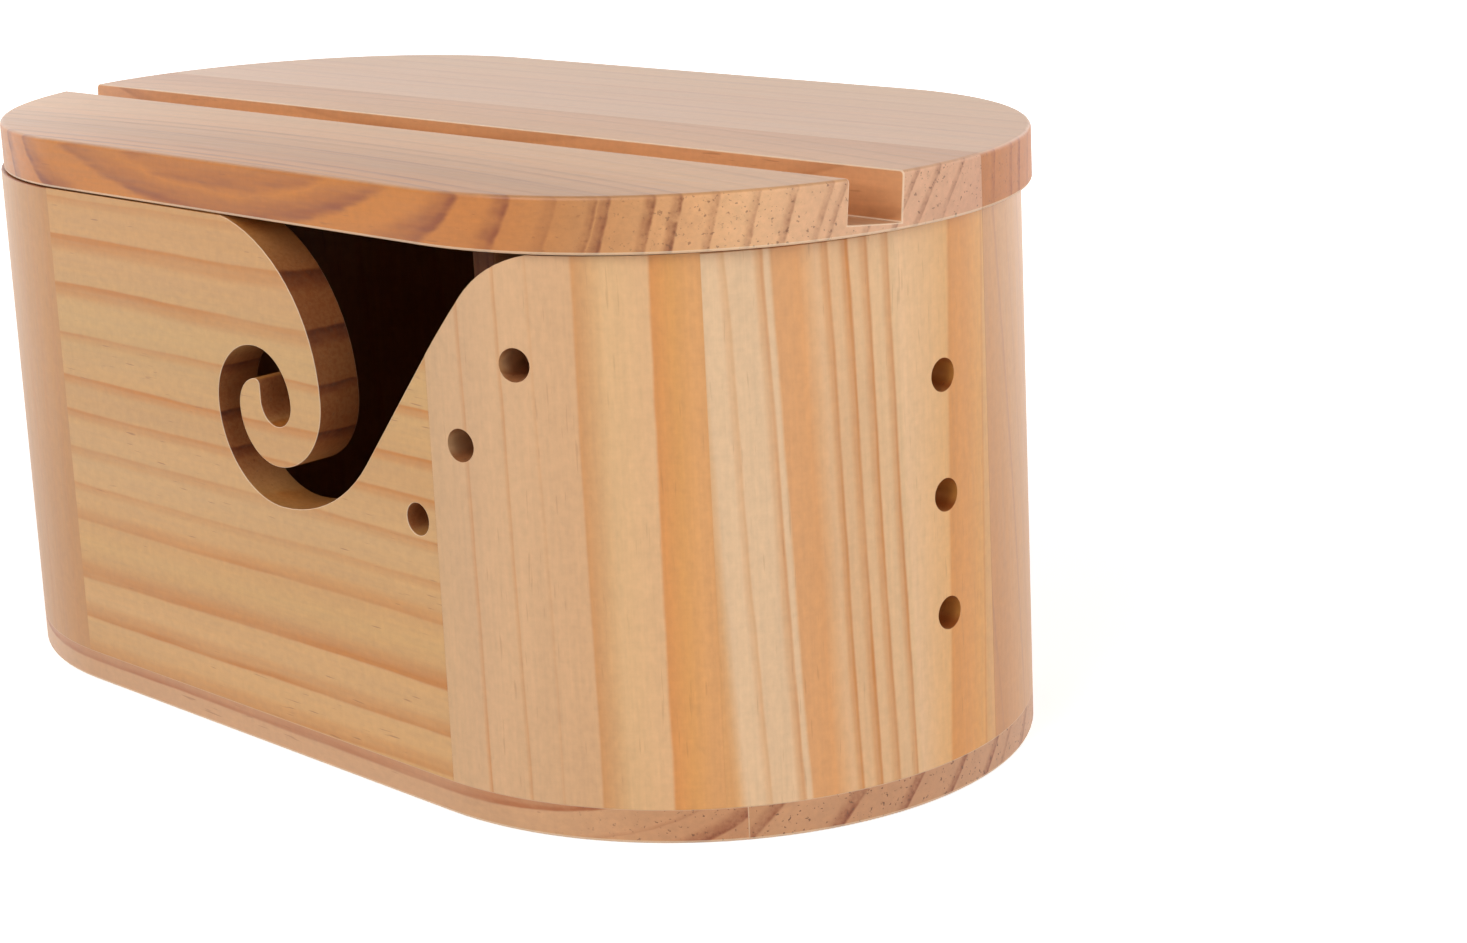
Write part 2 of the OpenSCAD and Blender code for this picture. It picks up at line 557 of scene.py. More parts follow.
    def colour(self, place: Amount, late: Amount) -> bpy.types.NodeSocket:
        """Lays the late wood, the light, resin, tints, pores, and the pale eased edges (wear and a
        painted highlight) over the early wood.

        Args:
            place: The place across the rings.
            late: The late wood lines.

        Returns:
            The finished colour.
        """
        look, pores = self.look, self.noise[Pattern.PORE]
        lines = self.ragged(late)
        ducts = self.noise[Pattern.PATCH] * look.dash_drift + self.noise[Pattern.DASH]
        wear_and_highlight = add_node(self.tree, "ShaderNodeAttribute", {"attribute_name": ARRIS}).outputs["Fac"]
        layers = [
            ("MIX", lines, linear(look.late)),
            ("MULTIPLY", 1.0, self.light()),
            ("MIX", self.rising(ducts, look.dash_level) * look.dashes, linear(Shade.RESIN.value)),
            ("MULTIPLY", self.face, linear(look.face_tint)),
            ("MULTIPLY", self.side, linear(look.side_tint)),
            ("MULTIPLY", self.end, linear(look.end_tint)),
            ("MULTIPLY", lines * self.end * look.end_rings, linear(Shade.SOAKED_RING.value)),
        ]
        if look.fuzz:
            torn = self.rising(pores, look.fuzz_level) * self.sawn * look.fuzz
            layers.append(("SCREEN", torn, linear(Shade.SAWN_FUZZ.value)))
        flecks = self.rising(pores, look.fleck_level) * self.end * look.flecks
        layers.append(("MIX", flecks, linear(Shade.PORE.value)))
        # Eased edges painted pale: partly wear, partly a painted highlight along the arris.
        layers.append(("MIX", Amount(wear_and_highlight) * look.edge_wear_and_highlight, linear(Shade.EDGE_WEAR_AND_HIGHLIGHT.value)))
        colour = self.early_wood(place)
        for blend, amount, over in layers:
            settings = {"data_type": "RGBA", "blend_type": blend}
            mixed = {0: amount, 6: colour, 7: over}
            colour = add_node(self.tree, "ShaderNodeMix", settings, mixed).outputs[2]
        return colour

    def coat(self) -> Amount | float:
        """Gives the varnish coat's weight: it soaks into sawn faces, so less stays on them.

        Returns:
            One number where it soaks in nowhere, and otherwise an amount.
        """
        look = self.look
        if not look.soaks:
            return look.varnish
        return self.sawn * (-look.soaks * look.varnish) + look.varnish

    def roughness(self) -> Amount:
        """Makes the sheen rougher on raised fibres and on end grain.

        Returns:
            The roughness.
        """
        look = self.look
        rough = self.noise[Pattern.FIBRE] * look.fibre_rough + look.rough
        return rough + self.end * look.end_rough

    def relief(self, late: Amount) -> bpy.types.NodeSocket:
        """Raises the fibres, the hard late wood and the sander's ripple.

        Args:
            late: The late wood lines.

        Returns:
            The bumped normal.
        """
        look = self.look
        height = self.noise[Pattern.FIBRE] + late * look.late_relief
        height += self.noise[Pattern.RIPPLE] * look.ripple_relief
        shape = {"Strength": look.relief_strength, "Distance": look.relief * MM, "Height": height}
        return add_node(self.tree, "ShaderNodeBump", inputs=shape).outputs[0]

    def build(self) -> bpy.types.Material:
        """Joins the colour, sheen and relief in the shader.

        Returns:
            The material.
        """
        place = self.ring_place()
        late = self.late_wood(place)
        shader = add_node(
            self.tree,
            "ShaderNodeBsdfPrincipled",
            inputs={
                "Base Color": self.colour(place, late),
                "Roughness": self.roughness(),
                "IOR": self.look.ior,
                "Specular IOR Level": self.look.shine,
                "Coat Weight": self.coat(),
                "Coat Roughness": self.look.coat_rough,
                "Coat IOR": self.look.ior,
                "Normal": self.relief(late),
            },
        )
        add_node(self.tree, "ShaderNodeOutputMaterial", inputs={0: shader.outputs[0]})
        return self.material


@dataclass
class Board:
    """One board: the CAD node it stands for, its glued sides, those it rests on and its finish.

    Its edges are eased by arris, by rest_arris where something rests on it and by glue_arris
    along a glue line. Eased edges are painted pale, as wear and as a painted highlight, and a glue
    line by glue_pale. The side on which the loose lid rests is lowered by rest_gap, for the thin
    dark line that shows below the lid.
    """

    node: str
    body: Body
    slot: str
    finish: PineFinish
    glued: tuple[Side, ...] = ()
    rests: tuple[Side, ...] = ()
    arris: float = 0.45
    rest_arris: float = 0.7
    rest_gap: float = 0.4
    glue_pale: float = 0.0
    glue_arris: float = 0.12
    same_point: float = 0.0005
    same_eased_point: float = 0.001
    same_level: float = 0.02
    flat_angle: float = 0.6
    sharp_angle: float = 30.0
    crisp_angle: float = 40.0

    def levels(self, sides: tuple[Side, ...]) -> list[Level]:
        """Gives the planes in which some sides of the board lie.

        Args:
            sides: The sides.

        Returns:
            A level for each side.
        """
        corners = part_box(self.node)
        return [(side.value[0], corners[side.value[1]][side.value[0]] / MM) for side in sides]

    def lies_in(self, vertices: Iterable[bmesh.types.BMVert], levels: list[Level]) -> bool:
        """Tells whether some vertices lie together in one of some levels.

        Args:
            vertices: The vertices.
            levels: The levels.

        Returns:
            True if one level holds them all.
        """
        return any(
            all(abs(vertex.co[axis] - level) < self.same_level for vertex in vertices)
            for axis, level in levels
        )

    def sharp_edges(
        self, shape: bmesh.types.BMesh, inside: list[Level] | None, outside: list[Level]
    ) -> list[bmesh.types.BMEdge]:
        """Finds the sharp edges that lie in some levels and not in others.

        Args:
            shape: The board's mesh, in millimetres.
            inside: The levels that an edge has to lie in, or None for anywhere.
            outside: The levels that it may not lie in.

        Returns:
            The edges.
        """
        limit = math.radians(self.sharp_angle)
        return [
            edge
            for edge in shape.edges
            if len(edge.link_faces) == 2
            and edge.calc_face_angle(0.0) > limit
            and (inside is None or self.lies_in(edge.verts, inside))
            and not self.lies_in(edge.verts, outside)
        ]

    def lower_rests(self, shape: bmesh.types.BMesh, rested: list[Level]) -> list[Level]:
        """Lowers the sides on which something rests.

        Args:
            shape: The board's mesh, in millimetres.
            rested: The levels of those sides.

        Returns:
            Their new levels.
        """
        for level in rested:
            top = [vertex for vertex in shape.verts if self.lies_in([vertex], [level])]
            bmesh.ops.translate(shape, vec=(0.0, 0.0, -self.rest_gap), verts=top)
        return [(axis, height - self.rest_gap) for axis, height in rested]

    def ease(self, shape: bmesh.types.BMesh) -> None:
        """Eases the edges, and marks those painted pale, as wear and as a painted highlight.

        Args:
            shape: The board's mesh, in millimetres.
        """
        wear_and_highlight = shape.faces.layers.float.new(ARRIS)
        glued = self.levels(self.glued)
        rested = self.lower_rests(shape, self.levels(self.rests))
        # Outer eased edges are painted fully pale (wear and a painted highlight), rested ones not at
        # all.
        for inside, outside, width, steps, pale in (
            (None, glued + rested, self.arris, 3, 1.0),
            (rested, glued, self.rest_arris, 3, 0.0),
            (glued, [], self.glue_arris, 1, self.glue_pale),
        ):
            eased = bmesh.ops.bevel(
                shape,
                geom=self.sharp_edges(shape, inside, outside),
                offset=width,
                offset_type="OFFSET",
                affect="EDGES",
                segments=steps,
                profile=0.5,
                material=-1,
                clamp_overlap=True,
            )
            for face in eased["faces"]:
                face[wear_and_highlight] = pale
        bmesh.ops.remove_doubles(shape, verts=shape.verts, dist=self.same_eased_point)

    def build(self, frame: dict[str, Any]) -> bpy.types.Object:
        """Copies the CAD board, eases its edges and gives it its finish.

        Args:
            frame: The loaded frame.

        Returns:
            The dressed board.
        """
        shape = bmesh.new()
        shape.from_mesh(frame["nodes"][self.node].data)
        bmesh.ops.scale(shape, vec=(1 / MM, 1 / MM, 1 / MM), verts=shape.verts)
        bmesh.ops.remove_doubles(shape, verts=shape.verts, dist=self.same_point)
        bmesh.ops.dissolve_limit(
            shape, angle_limit=math.radians(self.flat_angle), verts=shape.verts, edges=shape.edges
        )
        self.ease(shape)
        bmesh.ops.scale(shape, vec=(MM, MM, MM), verts=shape.verts)
        for face in shape.faces:
            face.smooth = True
        mesh = bpy.data.meshes.new("pine_" + self.node)
        shape.to_mesh(mesh)
        shape.free()
        mesh.set_sharp_from_angle(angle=math.radians(self.crisp_angle))
        piece = bpy.data.objects.new("pine_" + self.node, mesh)
        bpy.context.scene.collection.objects.link(piece)
        mesh.materials.append(PineGrain(self.finish).build())
        normals = piece.modifiers.new("flat_faces", "WEIGHTED_NORMAL")
        normals.keep_sharp = True
        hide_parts(self.node)
        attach(piece, self.body.value)
        LOG.info("%s: %d faces", piece.name, len(mesh.polygons))
        return piece


@dataclass
class Walls:
    """The upright walls: a flat panel on each long side and three boards round each end."""

    ease: float = 0.6
    slot_panel: str = "pine_panel"
    slot_end: str = "pine_end"
    panel_late: str = "#b8701a"
    panel_side: str = "#e7d0b3"
    # End grain of both panels: darker end grain, deepened as painted shade on the cut faces in the
    # scroll opening and hook holes.
    panel_end: str = "#be9072"
    orange_late: str = "#c07628"
    upright_end: str = "#c9a68c"

    def front_panel(self) -> Board:
        """Makes the front panel, with grain along the box and dark lines about 10 mm apart.

        Returns:
            The board.
        """
        # Honey-coloured wood whose dark lines are crisp on one side and melt away on the other.
        finish = PineFinish(
            name="pine_varnished_front_panel",
            grain=Grain.ALONG_BOX_RINGS_FLAT,
            middle=(0.0, -76.5, 66.0),
            dip=Slant(0.06, 0.06),
            lean=Slant(-0.012, 0.0, 20.0, 70.0),
            tones=(
                Tone(7.0, "#c69457"), Tone(16.6, "#cb9b61"), Tone(27.0, "#ca995e"),
                Tone(29.0, "#c48e51"), Tone(36.0, "#c8995b"), Tone(42.0, "#c79457"),
                Tone(56.0, "#c79961"), Tone(74.0, "#c29157"), Tone(94.0, "#c2965b"),
                Tone(107.0, "#c59359"), Tone(126.0, "#c28d51"),
            ),
            bands=(
                Band(7.6, -4.6, 0.6), Band(16.8, -5.0, 0.92), Band(27.2, -5.6, 0.92),
                Band(42.1, -4.4, 0.6), Band(51.6, 2.6, 0.45), Band(61.0, 3.4, 0.6),
                Band(70.4, 3.0, 0.72), Band(78.8, 3.2, 0.85), Band(89.6, 2.8, 0.8),
                Band(101.8, 4.8, 0.98), Band(113.6, 5.0, 0.95), Band(123.0, 2.4, 0.5),
            ),
            dashes=0.65,
            late=self.panel_late,
            side_tint=self.panel_side,
            end_tint=self.panel_end,
            end_rings=1.0,
            fuzz=0.2,
            seed=3.1,
        )
        return self.panel("front_panel", finish)

    def rear_panel(self) -> Board:
        """Makes the rear panel, a board of the same kind from another tree.

        Returns:
            The board.
        """
        # The same honey colour, with plainer lines that all fade upwards.
        finish = PineFinish(
            name="pine_varnished_rear_panel",
            grain=Grain.ALONG_BOX_RINGS_FLAT,
            middle=(0.0, 76.5, 66.0),
            dip=Slant(-0.1, -0.1),
            lean=Slant(0.014, 0.014),
            tones=(
                Tone(7.0, "#cd9e66"), Tone(40.0, "#cfa26e"), Tone(72.0, "#ca9c69"),
                Tone(100.0, "#d0a36f"), Tone(126.0, "#cb9964"),
            ),
            bands=(
                Band(12.4, -4.8, 0.7), Band(23.5, -5.1, 0.85), Band(35.0, -3.7, 0.7),
                Band(47.8, -4.9, 0.8), Band(58.0, -3.2, 0.6), Band(66.6, -2.9, 0.7),
                Band(76.3, -3.7, 0.75), Band(88.9, -5.3, 0.85), Band(99.0, -2.9, 0.6),
                Band(110.4, -4.9, 0.8), Band(119.7, -3.2, 0.65),
            ),
            late=self.panel_late,
            side_tint=self.panel_side,
            end_tint=self.panel_end,
            end_rings=1.0,
            fuzz=0.2,
            seed=8.4,
        )
        return self.panel("rear_panel", finish)

    def panel(self, node: str, finish: PineFinish) -> Board:
        """Puts a finish on a flat panel.

        Args:
            node: The panel's node.
            finish: Its finish.

        Returns:
            The board.
        """
        glued = (Side.LEFT, Side.RIGHT, Side.FOOT)
        return Board(node, Body.BOX, self.slot_panel, finish, glued, (Side.TOP,), self.ease)

    def right_end(self) -> list[Board]:
        """Makes the three upright boards of the right end.

        Returns:
            The front, middle and rear boards.
        """
        # Pinkish pale wood with two thin lines, and an orange stripe where the round starts.
        front = PineFinish(
            name="pine_varnished_right_front_board",
            grain=Grain.UPRIGHT_RINGS_ALONG,
            middle=(0.0, -76.5, 66.0),
            lean=Slant(0.018, 0.0, 95.0, 104.0),
            tones=(
                Tone(69.0, "#ca9f71"), Tone(80.0, "#cda277"), Tone(92.0, "#d0a478"),
                Tone(105.8, "#cea073"), Tone(106.2, "#c68b52"), Tone(108.6, "#ca9762"),
                Tone(111.5, "#d6aa77"), Tone(118.4, "#d8aa7a"), Tone(118.9, "#ce8845"),
                Tone(122.0, "#d2934e"), Tone(124.6, "#d5985a"), Tone(126.2, "#d2965a"),
            ),
            bands=(Band(80.8, 1.2, 0.55), Band(90.6, 1.0, 0.42), Band(98.0, 0.8, 0.18)),
            wander=0.8,
            late=self.orange_late,
            dashes=0.2,
            end_tint=self.upright_end,
            seed=12.6,
        )
        # The boldest board: cream and orange stripes, and four dark lines close together.
        middle = PineFinish(
            name="pine_varnished_right_middle_board",
            grain=Grain.UPRIGHT_RINGS_DEEP,
            middle=(145.0, 0.0, 66.0),
            lean=Slant(0.034, -0.03, -12.0, -3.0),
            tones=(
                Tone(-51.0, "#d0965a"), Tone(-50.2, "#d49f68"), Tone(-48.8, "#dbb68d"),
                Tone(-37.4, "#dbb58c"), Tone(-36.8, "#d2965e"), Tone(-32.0, "#d6975b"),
                Tone(-28.6, "#daab7b"), Tone(-11.6, "#dbb182"), Tone(-10.4, "#dfb486"),
                Tone(0.8, "#dba567"), Tone(1.6, "#cf8940"), Tone(7.0, "#d18d46"),
                Tone(13.4, "#d3954b"), Tone(14.4, "#cd9656"), Tone(16.5, "#cc9559"),
            ),
            bands=(
                Band(-44.8, 1.6, 0.3), Band(-38.4, 2.2, 0.55), Band(-26.1, 2.0, 0.85),
                Band(-21.8, 2.5, 0.85), Band(-17.6, 2.5, 0.85), Band(-12.6, 2.4, 0.75),
                Band(13.9, 0.8, 0.5),
            ),
            wander=1.0,
            late=self.orange_late,
            dashes=0.2,
            end_tint=self.upright_end,
            seed=21.7,
        )
        # Even tan wood, with thin lines that lean.
        rear = PineFinish(
            name="pine_varnished_right_rear_board",
            grain=Grain.UPRIGHT_RINGS_DEEP,
            middle=(145.0, 0.0, 66.0),
            lean=Slant(0.12, 0.06, 20.0, 60.0),
            tones=(Tone(10.0, "#be8047"), Tone(30.0, "#bf874f"), Tone(78.0, "#bd854f")),
            bands=(
                Band(13.4, 1.2, 0.55), Band(28.4, 1.3, 0.6), Band(34.6, 1.0, 0.3),
                Band(43.0, 1.6, 0.45), Band(53.5, 1.8, 0.5), Band(63.4, 1.4, 0.4),
                Band(72.8, 1.6, 0.5),
            ),
            late="#a9704a",
            dashes=0.25,
            end_tint=self.upright_end,
            seed=30.2,
        )
        return self.end_boards("right", (front, middle, rear), Side.LEFT)

    def left_end(self) -> list[Board]:
        """Makes the left end's boards, plainer than the right end's.

        Returns:
            The front, middle and rear boards.
        """
        # Deeper, even tan wood, with faint upright lines.
        front = PineFinish(
            name="pine_varnished_left_front_board",
            grain=Grain.UPRIGHT_RINGS_ALONG,
            middle=(0.0, -76.5, 66.0),
            lean=Slant(-0.02, -0.02),
            tones=(Tone(-127.0, "#b88147"), Tone(-96.0, "#b67f44"), Tone(-69.0, "#b98044")),
            bands=(
                Band(-118.0, 2.4, 0.5), Band(-107.0, 2.0, 0.45), Band(-97.5, 1.8, 0.4),
                Band(-89.0, 1.4, 0.45), Band(-80.6, 1.2, 0.35), Band(-73.4, 1.6, 0.4),
            ),
            wander=0.9,
            dashes=0.3,
            end_tint=self.upright_end,
            seed=41.3,
        )
        # Warmer wood, with one broad orange stripe among narrow lines.
        middle = PineFinish(
            name="pine_varnished_left_middle_board",
            grain=Grain.UPRIGHT_RINGS_DEEP,
            middle=(-145.0, 0.0, 66.0),
            lean=Slant(-0.03, -0.03),
            tones=(
                Tone(-51.0, "#c48e52"), Tone(-20.0, "#c9975b"), Tone(-8.0, "#c48844"),
                Tone(16.5, "#c79457"),
            ),
            bands=(
                Band(-43.0, 2.0, 0.6), Band(-33.5, 1.8, 0.7), Band(-25.0, 1.5, 0.6),
                Band(-17.8, 1.6, 0.7), Band(-8.0, 3.2, 0.6), Band(4.5, 2.0, 0.55),
            ),
            dashes=0.25,
            end_tint=self.upright_end,
            seed=52.9,
        )
        # Even tan wood, with narrow lines about 10 mm apart.
        rear = PineFinish(
            name="pine_varnished_left_rear_board",
            grain=Grain.UPRIGHT_RINGS_DEEP,
            middle=(-145.0, 0.0, 66.0),
            lean=Slant(0.04, 0.04),
            tones=(Tone(14.0, "#bf874d"), Tone(46.0, "#bb834a"), Tone(78.0, "#c08a50")),
            bands=(
                Band(22.0, 1.5, 0.5), Band(31.5, 1.6, 0.6), Band(41.0, 1.9, 0.5),
                Band(50.8, 1.5, 0.6), Band(61.5, 2.0, 0.55), Band(70.0, 1.4, 0.45),
            ),
            dashes=0.25,
            end_tint=self.upright_end,
            seed=63.5,
        )
        return self.end_boards("left", (front, middle, rear), Side.RIGHT)

    def end_boards(self, end: str, finishes: tuple[PineFinish, ...], inner: Side) -> list[Board]:
        """Puts three finishes on the boards of one round end.

        Args:
            end: Which end, as its nodes are named.
            finishes: The finishes of the front, middle and rear boards.
            inner: The side on which the front and rear boards meet the panels.

        Returns:
            The three boards.
        """
        places = (
            ("front", (inner, Side.REAR, Side.FOOT)),
            ("middle", (Side.FRONT, Side.REAR, Side.FOOT)),
            ("rear", (inner, Side.FRONT, Side.FOOT)),
        )
        made = []
        for finish, (place, glued) in zip(finishes, places):
            node = f"{end}_end_{place}_board"
            made.append(
                Board(node, Body.BOX, self.slot_end, finish, glued, (Side.TOP,), self.ease)
            )
        return made

    def boards(self) -> list[Board]:
        """Gives all the boards of the walls."""
        return [self.front_panel(), self.rear_panel(), *self.right_end(), *self.left_end()]


@dataclass
class Base:
    """The base: two boards edge to edge, with end grain on the round ends."""

    slot: str = "pine_base"
    late: str = "#a86230"
    end_tint: str = "#f0e2d8"
    flecks: float = 1.2
    end_rings: float = 0.6
    glue_pale: float = 0.9

    def boards(self) -> list[Board]:
        """Makes both boards of the base.

        Returns:
            The front and rear boards.
        """
        # Rings round a near pith: a long flame on the flat side, arcs and dark pores on the ends.
        front = PineFinish(
            name="pine_varnished_base_front_board",
            grain=Grain.ALONG_BOX,
            pith=Pith(-81.4, 46.5),
            tones=(Tone(38.0, "#c7986c"), Tone(52.0, "#c6956b"), Tone(56.0, "#c29168")),
            bands=(Band(41.8, 4.0, 1.0), Band(47.6, 0.8, 0.2), Band(53.9, 3.4, 0.8)),
            late=self.late,
            wander=0.5,
            end_tint=self.end_tint,
            broad=2,
            flecks=self.flecks,
            end_rings=self.end_rings,
            seed=71.8,
        )
        # Steep rings: the round end shows dark slanting lines, crisp on one side, and pores.
        rear = PineFinish(
            name="pine_varnished_base_rear_board",
            grain=Grain.ALONG_BOX,
            middle=(0.0, 0.0, 3.75),
            dip=Slant(-0.82, -0.82),
            tones=(
                Tone(-48.0, "#c4956b"), Tone(-40.0, "#cfa279"), Tone(-26.0, "#c79971"),
                Tone(10.0, "#ca9f7b"), Tone(77.0, "#c79b76"),
            ),
            bands=(
                Band(-43.2, 3.6, 0.6), Band(-26.2, 4.6, 0.7), Band(-11.6, 3.6, 0.85),
                Band(1.8, 3.0, 0.7), Band(14.4, 3.0, 0.7), Band(21.0, 1.8, 0.4),
                Band(33.0, 3.2, 0.6), Band(45.5, 3.0, 0.7), Band(57.0, 2.8, 0.6),
                Band(68.5, 2.6, 0.7),
            ),
            late=self.late,
            wander=0.6,
            end_tint=self.end_tint,
            broad=2,
            flecks=self.flecks,
            end_rings=self.end_rings,
            seed=83.3,
        )
        return [
            Board(node, Body.BOX, self.slot, finish, (glued, Side.TOP), glue_pale=self.glue_pale)
            for node, finish, glued in (
                ("base_front_board", front, Side.REAR),
                ("base_rear_board", rear, Side.FRONT),
            )
        ]


@dataclass
class Lid:
    """The loose lid: two boards, the leaning groove in the front one, and two battens below."""

    slot: str = "pine_lid"
    slot_batten: str = "pine_batten"
    late: str = "#8e4c12"
    ease: float = 0.5

    def boards(self) -> list[Board]:
        """Makes both boards and both battens of the lid.

        Returns:
            The front and rear boards, and the right and left battens.
        """
        # Bowed rings: amber flames along the front edge, slanting lines and pores on the round
        # ends, and soft broken lines under a pale sheen on top.
        front = PineFinish(
            name="pine_varnished_lid_front_board",
            grain=Grain.ALONG_BOX,
            middle=(0.0, 0.0, 131.0),
            dip=Slant(-0.2, -0.7, -55.0, 0.0),
            bow=0.00065,
            tones=(
                Tone(-80.0, "#c68229"), Tone(-76.0, "#c88529"), Tone(-72.0, "#c78640"),
                Tone(-60.0, "#bd8752"), Tone(-42.0, "#d6a06f"), Tone(-34.0, "#dca97a"),
                Tone(0.0, "#daa885"), Tone(26.0, "#cc9777"),
            ),
            bands=(
                Band(-77.1, 1.4, 0.5), Band(-75.7, 1.4, 0.65), Band(-72.7, 1.8, 0.85),
                Band(-68.2, 2.2, 0.8), Band(-63.0, 2.0, 0.28), Band(-57.6, 1.5, 0.39),
                Band(-55.7, 2.0, 0.59), Band(-49.0, 2.2, 0.56), Band(-44.8, 2.1, 0.52),
                Band(-38.4, 2.0, 0.24), Band(-31.2, 2.0, 0.22), Band(-24.2, 2.1, 0.28),
                Band(-17.2, 1.8, 0.25), Band(-14.3, 1.5, 0.21), Band(-5.0, 2.0, 0.24),
                Band(2.4, 1.8, 0.28), Band(8.6, 2.1, 0.25), Band(16.0, 1.8, 0.21),
            ),
            late=self.late,
            wander=0.7,
            dashes=0.35,
            broad=2,
            face_tint="#e2d9c5",
            face_rings=0.8,
            soaks=0.6,
            side_tint="#f3dcbc",
            end_tint="#ffffff",
            flecks=0.7,
            end_rings=0.9,
            gaps=2.4,
            fibre=1.3,
            varnish=0.42,
            seed=90.1,
        )
        # A plainer, redder board under a fuller coat, so its top has the palest sheen.
        rear = PineFinish(
            name="pine_varnished_lid_rear_board",
            grain=Grain.ALONG_BOX,
            middle=(0.0, 0.0, 131.0),
            dip=Slant(-0.06, -0.3, 20.0, 70.0),
            tones=(Tone(10.0, "#c1926b"), Tone(40.0, "#bf8f67"), Tone(78.0, "#c2956a")),
            bands=(
                Band(17.0, 2.2, 0.3), Band(25.8, 2.3, 0.4), Band(31.0, 2.1, 0.6),
                Band(38.5, 2.2, 0.4), Band(47.0, 2.5, 0.5), Band(55.8, 2.3, 0.4),
                Band(64.2, 2.6, 0.5), Band(71.6, 2.3, 0.45),
            ),
            late="#a3694a",
            wander=0.9,
            dashes=0.3,
            broad=2,
            face_rings=0.8,
            soaks=0.9,
            end_tint="#f2cb9f",
            flecks=0.5,
            end_rings=0.45,
            gaps=2.4,
            fibre=1.3,
            varnish=0.7,
            seed=101.6,
        )
        # Bare planed wood: matt, with close lines, and dark ends that are partly end grain and
        # partly painted shade under the lid.
        places = (68.5, 71.2, 74.0, 77.2)
        lines = tuple(Band(side * at, 1.0, 0.6) for side in (-1, 1) for at in places)
        batten = PineFinish(
            name="pine_planed_batten",
            grain=Grain.ACROSS_BOX,
            middle=(0.0, 0.0, 120.0),
            tones=(Tone(-90.0, "#cfa57c"), Tone(0.0, "#c99e74"), Tone(90.0, "#cda37a")),
            bands=lines,
            wander=0.6,
            # A dark end tint: end grain, deepened as painted shade where the lid shades the battens'
            # ends.
            end_tint="#76563f",
            varnish=0.0,
            shine=0.1,
            edge_wear_and_highlight=0.0,
            dashes=0.2,
            seed=112.4,
        )
        return [
            Board("lid_front_board", Body.LID, self.slot, front, (Side.REAR,), arris=self.ease),
            Board("lid_rear_board", Body.LID, self.slot, rear, (Side.FRONT,), arris=self.ease),
            *(
                Board(f"lid_batten_{side}", Body.LID, self.slot_batten, batten, (Side.TOP,))
                for side in ("right", "left")
            ),
        ]


@dataclass(frozen=True)
class Lamp:
    """A soft square lamp: its place and side in millimetres, and its power in watts."""

    name: str
    place: tuple[float, float, float]
    side: float
    power: float


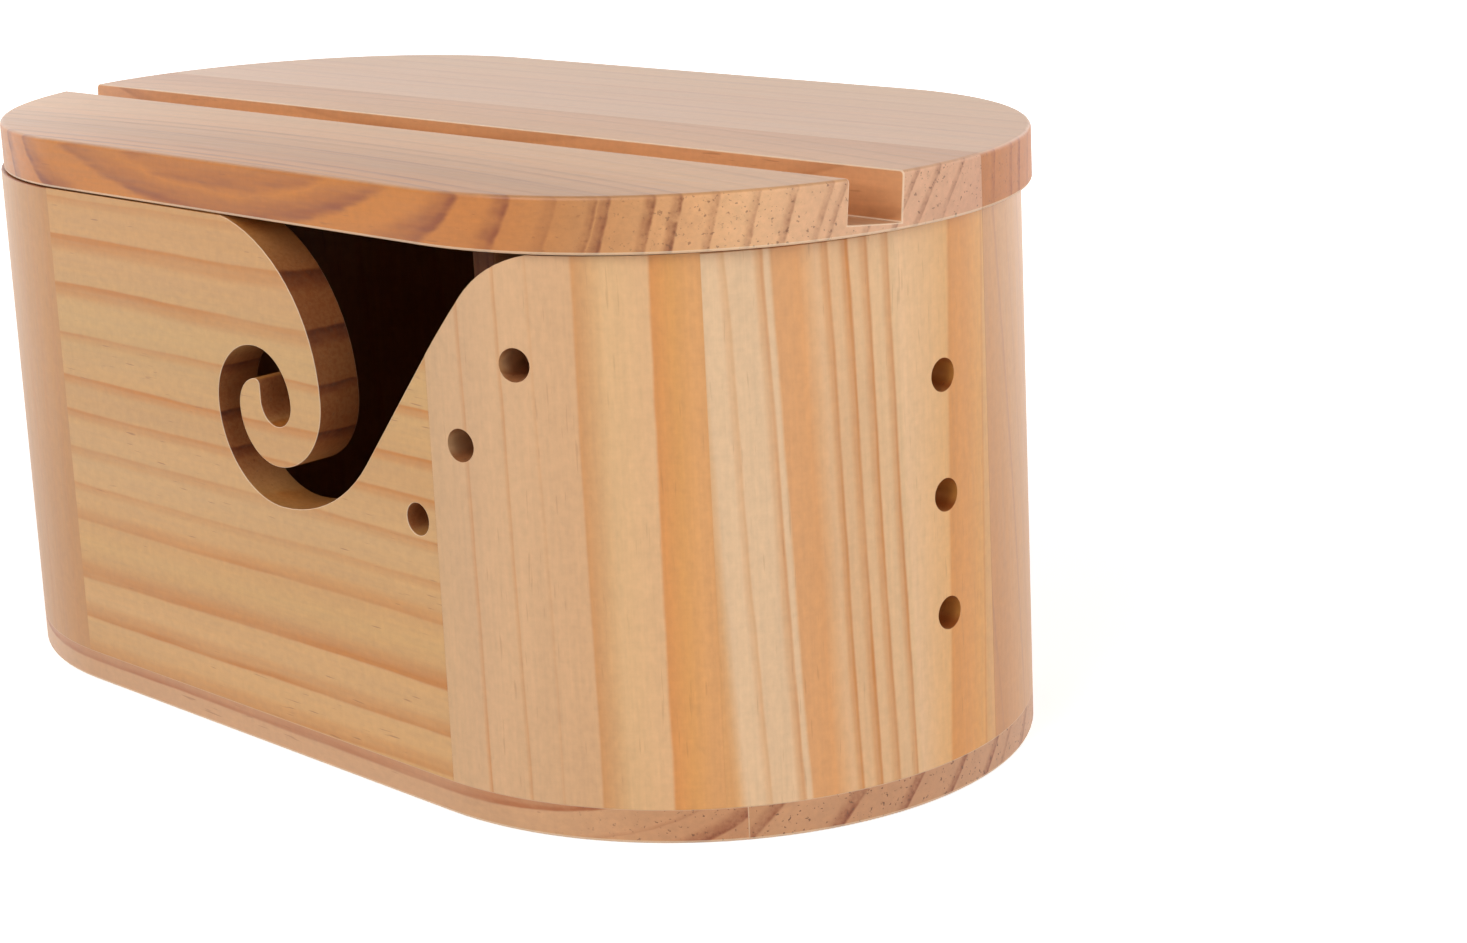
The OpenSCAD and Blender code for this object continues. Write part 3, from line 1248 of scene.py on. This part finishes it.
@dataclass
class Studio:
    """The pale floor, the soft lamps and the camera at the photograph's angle."""

    camera_at: tuple[float, float, float] = (524.77, -445.70, 235.14)
    azimuth: float = 48.14
    elevation: float = 12.42
    roll: float = -3.37
    focal: float = 70.85
    sensor: float = 36.0
    shift: tuple[float, float] = (0.1183, -0.0999)
    sees_metres: float = 50.0
    room_light: float = 0.13
    floor_size: float = 9000.0
    floor_below: float = 0.05
    floor_colour: str = "#e4e4e4"
    floor_rough: float = 0.9
    glow_from: float = 200.0
    glow_to: float = 900.0
    glow_near: float = 0.6
    lamps_aim: tuple[float, float, float] = (0.0, 0.0, 70.0)
    lamps: tuple[Lamp, ...] = (
        Lamp("key_above_front", (50.0, -1270.0, 1030.0), 1300.0, 18.3),
        Lamp("fill_right", (1500.0, 150.0, 640.0), 1500.0, 13.2),
        Lamp("fill_left", (-1450.0, 50.0, 760.0), 1600.0, 7.3),
        Lamp("rim_rear", (300.0, 1600.0, 450.0), 1600.0, 14.5),
    )

    def camera(self) -> None:
        """Sets the camera at the photograph's place and angle."""
        turn, tilt, roll = (math.radians(a) for a in (self.azimuth, self.elevation, self.roll))
        ahead = Vector(
            (-math.sin(turn) * math.cos(tilt), math.cos(turn) * math.cos(tilt), -math.sin(tilt))
        )
        level = Vector((math.cos(turn), math.sin(turn), 0.0))
        upward = level.cross(ahead)
        right = level * math.cos(roll) + upward * math.sin(roll)
        up = upward * math.cos(roll) - level * math.sin(roll)
        view = Matrix((right, up, -ahead)).transposed().to_4x4()
        view.translation = Vector(self.camera_at) * MM
        data = bpy.data.cameras.new("camera")
        data.sensor_width = self.sensor
        data.sensor_fit = "HORIZONTAL"
        data.lens = self.focal
        data.shift_x, data.shift_y = self.shift
        data.clip_end = self.sees_metres
        eye = bpy.data.objects.new("camera", data)
        eye.matrix_world = view
        bpy.context.scene.collection.objects.link(eye)
        bpy.context.scene.camera = eye

    def seen_directly(self, tree: bpy.types.NodeTree) -> bpy.types.NodeSocket:
        """Tells camera, mirror and glass rays, which see the white studio, from the rest.

        Args:
            tree: The node tree of the world or of the floor.

        Returns:
            A socket with 1 for those rays and 0 for the rest.
        """
        path = add_node(tree, "ShaderNodeLightPath")
        found = path.outputs["Is Camera Ray"]
        for name in ("Is Glossy Ray", "Is Transmission Ray"):
            found = add_node(
                tree, "ShaderNodeMath", {"operation": "MAXIMUM"}, {0: found, 1: path.outputs[name]}
            ).outputs[0]
        return found

    def world(self) -> None:
        """Makes a white studio to look at, which gives the object a dim even light."""
        world = bpy.data.worlds.new("studio")
        bpy.context.scene.world = world
        world.use_nodes = True
        tree = world.node_tree
        tree.nodes.clear()
        seen = self.seen_directly(tree)
        strength = add_node(
            tree, "ShaderNodeMapRange", inputs={0: seen, 3: self.room_light, 4: 1.0}
        )
        light = add_node(
            tree,
            "ShaderNodeBackground",
            inputs={"Color": (1.0, 1.0, 1.0, 1.0), "Strength": strength.outputs[0]},
        )
        add_node(tree, "ShaderNodeOutputWorld", inputs={0: light.outputs[0]})

    def paper(self) -> bpy.types.Material:
        """Makes the floor's white paper: no gloss, and only the soft shadow breaks its white.

        Returns:
            The material.
        """
        material = bpy.data.materials.new("matt_white_paper")
        material.use_nodes = True
        tree = material.node_tree
        tree.nodes.clear()
        seen = self.seen_directly(tree)
        spot = add_node(tree, "ShaderNodeTexCoord").outputs["Object"]
        away = add_node(tree, "ShaderNodeVectorMath", {"operation": "LENGTH"}, {0: spot})
        reach = {1: self.glow_from * MM, 2: self.glow_to * MM, 3: self.glow_near, 4: 1.0}
        white = add_node(
            tree,
            "ShaderNodeMapRange",
            {"interpolation_type": "SMOOTHSTEP"},
            {0: away.outputs["Value"], **reach},
        )
        glow = add_node(
            tree, "ShaderNodeMath", {"operation": "MULTIPLY"}, {0: seen, 1: white.outputs[0]}
        )
        shader = add_node(
            tree,
            "ShaderNodeBsdfPrincipled",
            inputs={
                "Base Color": linear(self.floor_colour),
                "Roughness": self.floor_rough,
                "Specular IOR Level": 0.0,
                "Emission Color": (1.0, 1.0, 1.0, 1.0),
                "Emission Strength": glow.outputs[0],
            },
        )
        add_node(tree, "ShaderNodeOutputMaterial", inputs={0: shader.outputs[0]})
        return material

    def floor(self) -> None:
        """Lays a plain pale floor that keeps the box's soft shadow."""
        shape = bmesh.new()
        bmesh.ops.create_grid(shape, x_segments=1, y_segments=1, size=self.floor_size * MM / 2)
        bmesh.ops.translate(shape, vec=(0.0, 0.0, -self.floor_below * MM), verts=shape.verts)
        mesh = bpy.data.meshes.new("floor")
        shape.to_mesh(mesh)
        shape.free()
        floor = bpy.data.objects.new("floor", mesh)
        bpy.context.scene.collection.objects.link(floor)
        mesh.materials.append(self.paper())

    def lights(self) -> None:
        """Hangs the lamps, each turned to the middle of the box."""
        target = Vector(self.lamps_aim) * MM
        for lamp in self.lamps:
            data = bpy.data.lights.new(lamp.name, "AREA")
            data.shape = "SQUARE"
            data.size = lamp.side * MM
            data.energy = lamp.power
            hung = bpy.data.objects.new(lamp.name, data)
            hung.location = Vector(lamp.place) * MM
            hung.rotation_euler = (target - hung.location).to_track_quat("-Z", "Y").to_euler()
            bpy.context.scene.collection.objects.link(hung)

    def build(self) -> None:
        """Sets up the whole studio."""
        bpy.context.scene.view_settings.view_transform = "Standard"
        self.world()
        self.floor()
        self.lights()
        self.camera()


def main() -> None:
    """Builds the studio and dresses every board."""
    logging.basicConfig(level=logging.INFO, format="%(name)s: %(message)s")
    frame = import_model()
    Studio().build()
    for part in (Walls(), Base(), Lid()):
        for board in part.boards():
            board.build(frame)


if __name__ == "__main__":
    main()
